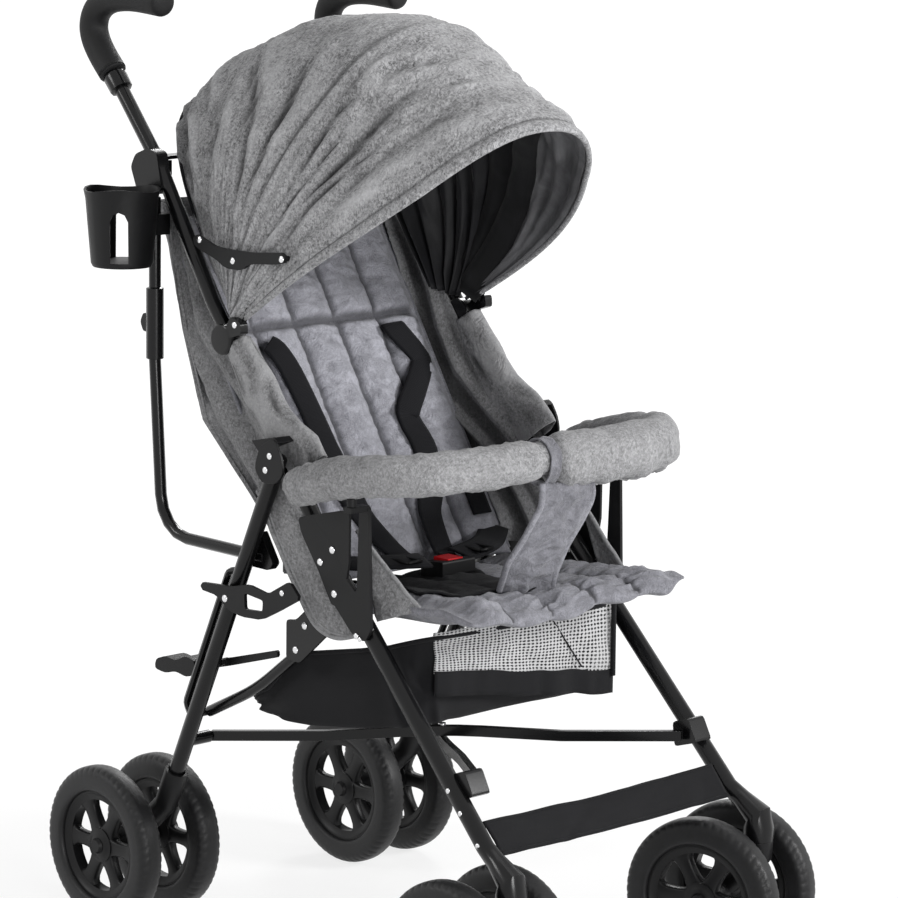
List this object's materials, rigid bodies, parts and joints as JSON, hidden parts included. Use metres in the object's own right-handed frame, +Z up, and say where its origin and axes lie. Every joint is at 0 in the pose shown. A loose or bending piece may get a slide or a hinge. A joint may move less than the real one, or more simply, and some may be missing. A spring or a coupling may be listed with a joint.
{
  "type": "umbrella stroller",
  "caption": "Folding umbrella stroller with twin wheels, crossed under-seat bars, padded seat, bumper, canopy, basket and a cup holder.",
  "frame": {"origin": "On the floor under the middle of the bounding box.", "axes": "-Y is forward, the way the child faces. +X is the child's left. +Z is up."},
  "size_m": [0.5044, 0.7474, 1.022],
  "materials": {
    "seat_cushion": "quilted padding",
    "seat_shell": "melange cloth",
    "basket": "open mesh and cloth",
    "footrest": "woven band",
    "crotch_panel": "melange cloth",
    "canopy_rear": "melange cloth",
    "back_cushion": "quilted padding",
    "harness": "woven strap",
    "buckle": "moulded",
    "buckle_button": "smooth",
    "canopy_front": "melange cloth",
    "x_pin": "plain steel",
    "x_bar_a": "satin powder coat",
    "x_bar_b": "satin powder coat",
    "fold_lever": "moulded",
    "front_leg_right": "satin powder coat",
    "hinge_bracket_right": "moulded",
    "side_bracket_right": "moulded",
    "handle_tube_right": "satin powder coat",
    "grip_right": "foam",
    "rear_tube_right": "satin powder coat",
    "cup_holder": "moulded",
    "rear_leg_right": "satin powder coat",
    "rear_axle_right": "moulded",
    "lower_brace_right": "satin powder coat",
    "side_brace_right": "moulded",
    "upper_brace_right": "satin powder coat",
    "canopy_stay_right": "moulded",
    "bumper_right": "melange cloth over foam",
    "front_fork_right": "moulded",
    "rim_rear_right_outer": "fine moulded texture",
    "tyre_rear_right_outer": "matte foam rubber",
    "rim_rear_right_inner": "fine moulded texture",
    "tyre_rear_right_inner": "matte foam rubber",
    "rim_front_right_outer": "fine moulded texture",
    "tyre_front_right_outer": "matte foam rubber",
    "rim_front_right_inner": "fine moulded texture",
    "tyre_front_right_inner": "matte foam rubber",
    "front_leg_left": "satin powder coat",
    "hinge_bracket_left": "moulded",
    "side_bracket_left": "moulded",
    "handle_tube_left": "satin powder coat",
    "grip_left": "foam",
    "rear_tube_left": "satin powder coat",
    "rear_leg_left": "satin powder coat",
    "rear_axle_left": "moulded",
    "lower_brace_left": "satin powder coat",
    "side_brace_left": "moulded",
    "upper_brace_left": "satin powder coat",
    "canopy_stay_left": "moulded",
    "bumper_left": "melange cloth over foam",
    "front_fork_left": "moulded",
    "rim_rear_left_outer": "fine moulded texture",
    "tyre_rear_left_outer": "matte foam rubber",
    "rim_rear_left_inner": "fine moulded texture",
    "tyre_rear_left_inner": "matte foam rubber",
    "rim_front_left_outer": "fine moulded texture",
    "tyre_front_left_outer": "matte foam rubber",
    "rim_front_left_inner": "fine moulded texture",
    "tyre_front_left_inner": "matte foam rubber"
  },
  "bodies": {
    "seat": {"seat_cushion": "seat_cushion", "seat_shell": "seat_shell", "basket": "basket", "footrest": "footrest", "crotch_panel": "crotch_panel", "canopy_rear": "canopy_rear"},
    "back": {"back_cushion": "back_cushion", "harness": "harness"},
    "buckle": {"buckle": "buckle"},
    "button": {"buckle_button": "buckle_button"},
    "hood": {"canopy_front": "canopy_front"},
    "cross_pin": {"x_pin": "x_pin"},
    "cross_bar_a": {"x_bar_a": "x_bar_a"},
    "cross_bar_b": {"x_bar_b": "x_bar_b"},
    "pedal": {"fold_lever": "fold_lever"},
    "right_frame": {"front_leg_right": "front_leg_right", "hinge_bracket_right": "hinge_bracket_right", "side_bracket_right": "side_bracket_right", "handle_tube_right": "handle_tube_right", "grip_right": "grip_right"},
    "right_link": {"rear_tube_right": "rear_tube_right", "cup_holder": "cup_holder"},
    "right_rear_leg": {"rear_leg_right": "rear_leg_right", "rear_axle_right": "rear_axle_right"},
    "right_brace": {"lower_brace_right": "lower_brace_right"},
    "right_lock": {"side_brace_right": "side_brace_right"},
    "right_upper_brace": {"upper_brace_right": "upper_brace_right"},
    "right_stay": {"canopy_stay_right": "canopy_stay_right"},
    "right_bumper": {"bumper_right": "bumper_right"},
    "right_fork": {"front_fork_right": "front_fork_right"},
    "rear_right_outer_wheel": {"rim_rear_right_outer": "rim_rear_right_outer", "tyre_rear_right_outer": "tyre_rear_right_outer"},
    "rear_right_inner_wheel": {"rim_rear_right_inner": "rim_rear_right_inner", "tyre_rear_right_inner": "tyre_rear_right_inner"},
    "front_right_outer_wheel": {"rim_front_right_outer": "rim_front_right_outer", "tyre_front_right_outer": "tyre_front_right_outer"},
    "front_right_inner_wheel": {"rim_front_right_inner": "rim_front_right_inner", "tyre_front_right_inner": "tyre_front_right_inner"},
    "left_frame": {"front_leg_left": "front_leg_left", "hinge_bracket_left": "hinge_bracket_left", "side_bracket_left": "side_bracket_left", "handle_tube_left": "handle_tube_left", "grip_left": "grip_left"},
    "left_link": {"rear_tube_left": "rear_tube_left"},
    "left_rear_leg": {"rear_leg_left": "rear_leg_left", "rear_axle_left": "rear_axle_left"},
    "left_brace": {"lower_brace_left": "lower_brace_left"},
    "left_lock": {"side_brace_left": "side_brace_left"},
    "left_upper_brace": {"upper_brace_left": "upper_brace_left"},
    "left_stay": {"canopy_stay_left": "canopy_stay_left"},
    "left_bumper": {"bumper_left": "bumper_left"},
    "left_fork": {"front_fork_left": "front_fork_left"},
    "rear_left_outer_wheel": {"rim_rear_left_outer": "rim_rear_left_outer", "tyre_rear_left_outer": "tyre_rear_left_outer"},
    "rear_left_inner_wheel": {"rim_rear_left_inner": "rim_rear_left_inner", "tyre_rear_left_inner": "tyre_rear_left_inner"},
    "front_left_outer_wheel": {"rim_front_left_outer": "rim_front_left_outer", "tyre_front_left_outer": "tyre_front_left_outer"},
    "front_left_inner_wheel": {"rim_front_left_inner": "rim_front_left_inner", "tyre_front_left_inner": "tyre_front_left_inner"}
  },
  "joints": [
    {"name": "right_side_fold", "type": "slide", "parent": "seat", "child": "right_frame", "axis": [1, 0, 0], "range_m": [0, 0.075], "deforming": ["seat_cushion", "seat_shell", "basket", "footrest", "crotch_panel", "canopy_rear", "canopy_front", "back_cushion", "harness"]},
    {"name": "left_side_fold", "type": "slide", "parent": "seat", "child": "left_frame", "axis": [-1, 0, 0], "range_m": [0, 0.075], "deforming": ["seat_cushion", "seat_shell", "basket", "footrest", "crotch_panel", "canopy_rear", "canopy_front", "back_cushion", "harness"]},
    {"name": "right_rear_leg_fold", "type": "hinge", "parent": "right_frame", "child": "right_rear_leg", "pos_m": [-0.1787, 0.0278, 0.541], "axis": [1, 0, 0], "range_deg": [-40, 0]},
    {"name": "right_link_fold", "type": "hinge", "parent": "right_frame", "child": "right_link", "pos_m": [-0.1607, 0.2503, 0.8], "axis": [1, 0, 0], "range_deg": [-8.5, 0]},
    {"name": "right_brace_fold", "type": "hinge", "parent": "right_rear_leg", "child": "right_brace", "pos_m": [-0.1472, 0.1758, 0.246], "axis": [1, 0, 0], "range_deg": [-18, 0]},
    {"name": "right_lock_fold", "type": "hinge", "parent": "right_rear_leg", "child": "right_lock", "pos_m": [-0.1883, 0.0978, 0.391], "axis": [1, 0, 0], "range_deg": [-52, 0]},
    {"name": "right_upper_brace_fold", "type": "hinge", "parent": "right_frame", "child": "right_upper_brace", "pos_m": [-0.1402, 0.2728, 0.832], "axis": [0, 0, 1], "range_deg": [0, 48]},
    {"name": "right_bumper_fold", "type": "hinge", "parent": "right_frame", "child": "right_bumper", "pos_m": [-0.1902, -0.1002, 0.527], "axis": [0, 0, 1], "range_deg": [-67, 0]},
    {"name": "right_stay_turn", "type": "hinge", "parent": "right_frame", "child": "right_stay", "pos_m": [-0.1767, 0.1278, 0.668], "axis": [1, 0, 0], "range_deg": [-75, 0]},
    {"name": "right_caster_swivel", "type": "hinge", "parent": "right_frame", "child": "right_fork", "pos_m": [-0.1712, -0.3182, 0.149], "axis": [0, 0, 1], "continuous": true},
    {"name": "rear_right_outer_spin", "type": "hinge", "parent": "right_rear_leg", "child": "rear_right_outer_wheel", "pos_m": [-0.2089, 0.2778, 0.0875], "axis": [1, 0, 0], "continuous": true},
    {"name": "rear_right_inner_spin", "type": "hinge", "parent": "right_rear_leg", "child": "rear_right_inner_wheel", "pos_m": [-0.1275, 0.2778, 0.0875], "axis": [1, 0, 0], "continuous": true},
    {"name": "front_right_outer_spin", "type": "hinge", "parent": "right_fork", "child": "front_right_outer_wheel", "pos_m": [-0.21369, -0.27802, 0.0875], "axis": [0.999, 0.0436, 0], "continuous": true},
    {"name": "front_right_inner_spin", "type": "hinge", "parent": "right_fork", "child": "front_right_inner_wheel", "pos_m": [-0.13237, -0.27446, 0.0875], "axis": [0.999, 0.0436, 0], "continuous": true},
    {"name": "left_rear_leg_fold", "type": "hinge", "parent": "left_frame", "child": "left_rear_leg", "pos_m": [0.1983, 0.0278, 0.541], "axis": [1, 0, 0], "range_deg": [-40, 0]},
    {"name": "left_link_fold", "type": "hinge", "parent": "left_frame", "child": "left_link", "pos_m": [0.1803, 0.2503, 0.8], "axis": [1, 0, 0], "range_deg": [-8.5, 0]},
    {"name": "left_brace_fold", "type": "hinge", "parent": "left_rear_leg", "child": "left_brace", "pos_m": [0.1668, 0.1758, 0.246], "axis": [1, 0, 0], "range_deg": [-18, 0]},
    {"name": "left_lock_fold", "type": "hinge", "parent": "left_rear_leg", "child": "left_lock", "pos_m": [0.2079, 0.0978, 0.391], "axis": [1, 0, 0], "range_deg": [-52, 0]},
    {"name": "left_upper_brace_fold", "type": "hinge", "parent": "left_frame", "child": "left_upper_brace", "pos_m": [0.1598, 0.2728, 0.832], "axis": [0, 0, 1], "range_deg": [-48, 0]},
    {"name": "left_bumper_fold", "type": "hinge", "parent": "left_frame", "child": "left_bumper", "pos_m": [0.2098, -0.1002, 0.527], "axis": [0, 0, 1], "range_deg": [0, 67]},
    {"name": "left_stay_turn", "type": "hinge", "parent": "left_frame", "child": "left_stay", "pos_m": [0.1963, 0.1278, 0.668], "axis": [1, 0, 0], "range_deg": [-75, 0]},
    {"name": "left_caster_swivel", "type": "hinge", "parent": "left_frame", "child": "left_fork", "pos_m": [0.1908, -0.3182, 0.149], "axis": [0, 0, 1], "continuous": true},
    {"name": "rear_left_outer_spin", "type": "hinge", "parent": "left_rear_leg", "child": "rear_left_outer_wheel", "pos_m": [0.2285, 0.2778, 0.0875], "axis": [1, 0, 0], "continuous": true},
    {"name": "rear_left_inner_spin", "type": "hinge", "parent": "left_rear_leg", "child": "rear_left_inner_wheel", "pos_m": [0.1471, 0.2778, 0.0875], "axis": [1, 0, 0], "continuous": true},
    {"name": "front_left_outer_spin", "type": "hinge", "parent": "left_fork", "child": "front_left_outer_wheel", "pos_m": [0.21986, -0.26745, 0.0875], "axis": [0.969, 0.247, 0], "continuous": true},
    {"name": "front_left_inner_spin", "type": "hinge", "parent": "left_fork", "child": "front_left_inner_wheel", "pos_m": [0.14099, -0.28755, 0.0875], "axis": [0.969, 0.247, 0], "continuous": true},
    {"name": "cross_lift", "type": "hinge", "parent": "seat", "child": "cross_pin", "pos_m": [0.0098, -0.2524, 0.2869], "axis": [1, 0, 0], "range_deg": [0, 54.6]},
    {"name": "cross_bar_a_turn", "type": "hinge", "parent": "cross_pin", "child": "cross_bar_a", "pos_m": [0.0098, -0.0272, 0.234], "axis": [0, 0.0807, 0.9967], "range_deg": [-19.5, 0]},
    {"name": "cross_bar_b_turn", "type": "hinge", "parent": "cross_pin", "child": "cross_bar_b", "pos_m": [0.0098, -0.0272, 0.234], "axis": [0, 0.0807, 0.9967], "range_deg": [0, 19.5]},
    {"name": "hood_fold", "type": "hinge", "parent": "seat", "child": "hood", "pos_m": [0.0098, 0.1278, 0.668], "axis": [1, 0, 0], "range_deg": [-75, 0], "deforming": ["canopy_front", "canopy_rear"]},
    {"name": "back_recline", "type": "hinge", "parent": "seat", "child": "back", "pos_m": [0.0098, 0.0348, 0.412], "axis": [1, 0, 0], "range_deg": [-20, 0], "deforming": ["seat_shell", "harness", "canopy_rear", "canopy_front", "seat_cushion"]},
    {"name": "buckle_lift", "type": "slide", "parent": "seat", "child": "buckle", "axis": [0, 0, 1], "range_m": [0, 0.135]},
    {"name": "button_press", "type": "slide", "parent": "buckle", "child": "button", "axis": [0, 0, -1], "range_m": [0, 0.0025], "stiffness_N_per_m": 300, "springref_m": -0.002},
    {"name": "pedal_press", "type": "hinge", "parent": "right_rear_leg", "child": "pedal", "pos_m": [-0.1556, 0.1358, 0.311], "axis": [1, 0, 0], "range_deg": [-18, 0], "stiffness_Nm_per_rad": 0.4, "springref_deg": 20.05}
  ],
  "couplings": [
    {"joint": "left_side_fold", "follows": "right_side_fold", "ratio": 1},
    {"joint": "right_rear_leg_fold", "follows": "right_side_fold", "rad_per_m": -9.3038},
    {"joint": "right_link_fold", "follows": "right_side_fold", "rad_per_m": -1.9771},
    {"joint": "right_brace_fold", "follows": "right_side_fold", "rad_per_m": -4.1867},
    {"joint": "right_lock_fold", "follows": "right_side_fold", "rad_per_m": -12.095},
    {"joint": "right_upper_brace_fold", "follows": "right_side_fold", "rad_per_m": 11.165},
    {"joint": "right_bumper_fold", "follows": "right_side_fold", "rad_per_m": -15.584},
    {"joint": "right_stay_turn", "follows": "hood_fold", "ratio": 1},
    {"joint": "left_rear_leg_fold", "follows": "right_side_fold", "rad_per_m": -9.3038},
    {"joint": "left_link_fold", "follows": "right_side_fold", "rad_per_m": -1.9771},
    {"joint": "left_brace_fold", "follows": "right_side_fold", "rad_per_m": -4.1867},
    {"joint": "left_lock_fold", "follows": "right_side_fold", "rad_per_m": -12.095},
    {"joint": "left_upper_brace_fold", "follows": "right_side_fold", "rad_per_m": -11.165},
    {"joint": "left_bumper_fold", "follows": "right_side_fold", "rad_per_m": 15.584},
    {"joint": "left_stay_turn", "follows": "hood_fold", "ratio": 1},
    {"joint": "cross_lift", "follows": "right_side_fold", "rad_per_m": 12.7},
    {"joint": "cross_bar_a_turn", "follows": "right_side_fold", "rad_per_m": -4.5356},
    {"joint": "cross_bar_b_turn", "follows": "right_side_fold", "rad_per_m": 4.5356},
    {"joint": "buckle_lift", "follows": "right_side_fold", "ratio": 1.7995}
  ]
}
